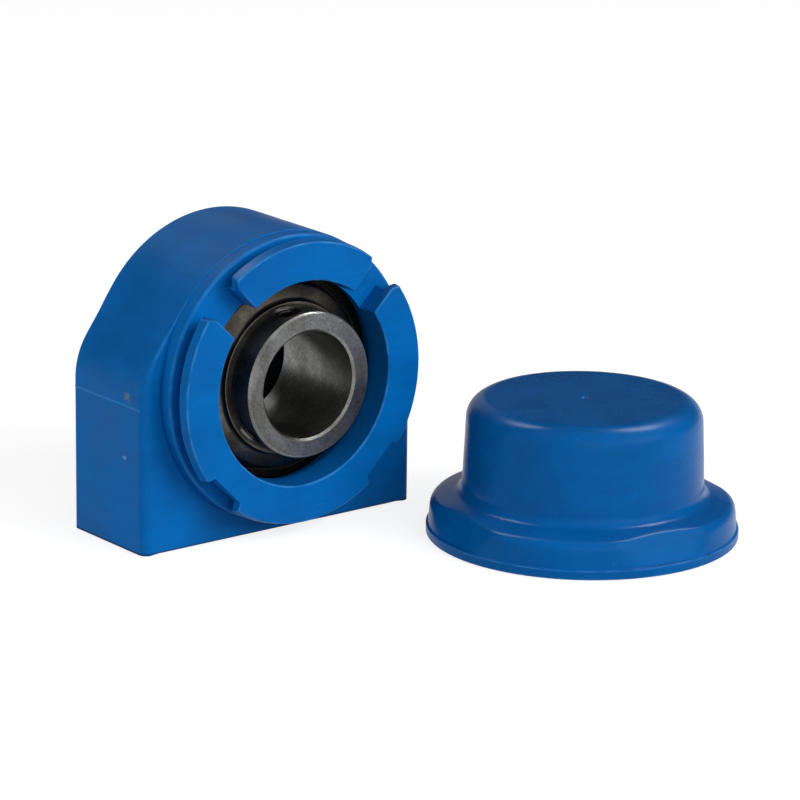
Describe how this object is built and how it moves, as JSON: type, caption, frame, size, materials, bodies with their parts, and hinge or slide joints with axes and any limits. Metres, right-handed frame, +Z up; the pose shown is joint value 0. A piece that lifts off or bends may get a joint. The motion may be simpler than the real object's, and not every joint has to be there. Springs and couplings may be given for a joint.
{
  "type": "pillow block bearing",
  "caption": "Short moulded pillow block with a tapped base, a sphered insert ball bearing locked by set screws, a back seal and a push-on end cover lying beside it.",
  "frame": {"origin": "on the base, straight below the centre of the bearing", "axes": "+X along the base, +Y along the shaft towards the back of the block, +Z up"},
  "size_m": [0.1284, 0.1062, 0.0702],
  "materials": {
    "blue_plastic": "moulded composite, satin",
    "cover_plastic": "moulded polymer, semi-gloss",
    "collar_steel": "ground and turned steel",
    "ring_steel": "ground steel, slightly tinted",
    "sheet_steel": "pressed sheet, dark",
    "screw_steel": "blackened",
    "insert_steel": "machined",
    "ball_steel": "polished",
    "cage_polymer": "moulded polyamide",
    "rubber": "moulded rubber"
  },
  "bodies": {
    "block": {"housing": "blue_plastic", "threaded_insert_left": "insert_steel", "threaded_insert_right": "insert_steel", "back_seal": "rubber", "end_cover": "cover_plastic"},
    "outer_race": {"outer_ring": "ring_steel", "front_seal": "rubber", "rear_seal": "rubber"},
    "inner_race": {"inner_ring": "collar_steel", "flinger": "sheet_steel"},
    "cage": {"cage": "cage_polymer"},
    "ball_1": {"ball_1": "ball_steel"},
    "ball_2": {"ball_2": "ball_steel"},
    "ball_3": {"ball_3": "ball_steel"},
    "ball_4": {"ball_4": "ball_steel"},
    "ball_5": {"ball_5": "ball_steel"},
    "ball_6": {"ball_6": "ball_steel"},
    "ball_7": {"ball_7": "ball_steel"},
    "ball_8": {"ball_8": "ball_steel"},
    "ball_9": {"ball_9": "ball_steel"},
    "set_screw_1": {"set_screw_1": "screw_steel"},
    "set_screw_2": {"set_screw_2": "screw_steel"}
  },
  "joints": [
    {"name": "insert_swivel", "type": "hinge", "parent": "block", "child": "outer_race", "pos_m": [0, 0, 0.0365], "axis": [0, 0, 1], "range_deg": [-5, 5]},
    {"name": "shaft_spin", "type": "hinge", "parent": "outer_race", "child": "inner_race", "pos_m": [0, 0, 0.0365], "axis": [0, 1, 0], "continuous": true},
    {"name": "cage_spin", "type": "hinge", "parent": "outer_race", "child": "cage", "pos_m": [0, 0, 0.0365], "axis": [0, 1, 0], "continuous": true},
    {"name": "ball_1_spin", "type": "hinge", "parent": "cage", "child": "ball_1", "pos_m": [0, 0, 0.05607], "axis": [0, 1, 0], "continuous": true},
    {"name": "ball_2_spin", "type": "hinge", "parent": "cage", "child": "ball_2", "pos_m": [-0.01258, 0, 0.05149], "axis": [0, 1, 0], "continuous": true},
    {"name": "ball_3_spin", "type": "hinge", "parent": "cage", "child": "ball_3", "pos_m": [-0.01927, 0, 0.0399], "axis": [0, 1, 0], "continuous": true},
    {"name": "ball_4_spin", "type": "hinge", "parent": "cage", "child": "ball_4", "pos_m": [-0.01695, 0, 0.02671], "axis": [0, 1, 0], "continuous": true},
    {"name": "ball_5_spin", "type": "hinge", "parent": "cage", "child": "ball_5", "pos_m": [-0.00669, 0, 0.01811], "axis": [0, 1, 0], "continuous": true},
    {"name": "ball_6_spin", "type": "hinge", "parent": "cage", "child": "ball_6", "pos_m": [0.00669, 0, 0.01811], "axis": [0, 1, 0], "continuous": true},
    {"name": "ball_7_spin", "type": "hinge", "parent": "cage", "child": "ball_7", "pos_m": [0.01695, 0, 0.02671], "axis": [0, 1, 0], "continuous": true},
    {"name": "ball_8_spin", "type": "hinge", "parent": "cage", "child": "ball_8", "pos_m": [0.01927, 0, 0.0399], "axis": [0, 1, 0], "continuous": true},
    {"name": "ball_9_spin", "type": "hinge", "parent": "cage", "child": "ball_9", "pos_m": [0.01258, 0, 0.05149], "axis": [0, 1, 0], "continuous": true},
    {"name": "set_screw_1_travel", "type": "slide", "parent": "inner_race", "child": "set_screw_1", "axis": [-0.1736, 0, 0.9848], "range_m": [-0.0003, 0.0025]},
    {"name": "set_screw_2_travel", "type": "slide", "parent": "inner_race", "child": "set_screw_2", "axis": [-0.766, 0, -0.6428], "range_m": [-0.0003, 0.0025]}
  ],
  "couplings": [
    {"joint": "cage_spin", "follows": "shaft_spin", "ratio": 0.39859},
    {"joint": "ball_1_spin", "follows": "shaft_spin", "ratio": -2.364},
    {"joint": "ball_2_spin", "follows": "shaft_spin", "ratio": -2.364},
    {"joint": "ball_3_spin", "follows": "shaft_spin", "ratio": -2.364},
    {"joint": "ball_4_spin", "follows": "shaft_spin", "ratio": -2.364},
    {"joint": "ball_5_spin", "follows": "shaft_spin", "ratio": -2.364},
    {"joint": "ball_6_spin", "follows": "shaft_spin", "ratio": -2.364},
    {"joint": "ball_7_spin", "follows": "shaft_spin", "ratio": -2.364},
    {"joint": "ball_8_spin", "follows": "shaft_spin", "ratio": -2.364},
    {"joint": "ball_9_spin", "follows": "shaft_spin", "ratio": -2.364}
  ]
}
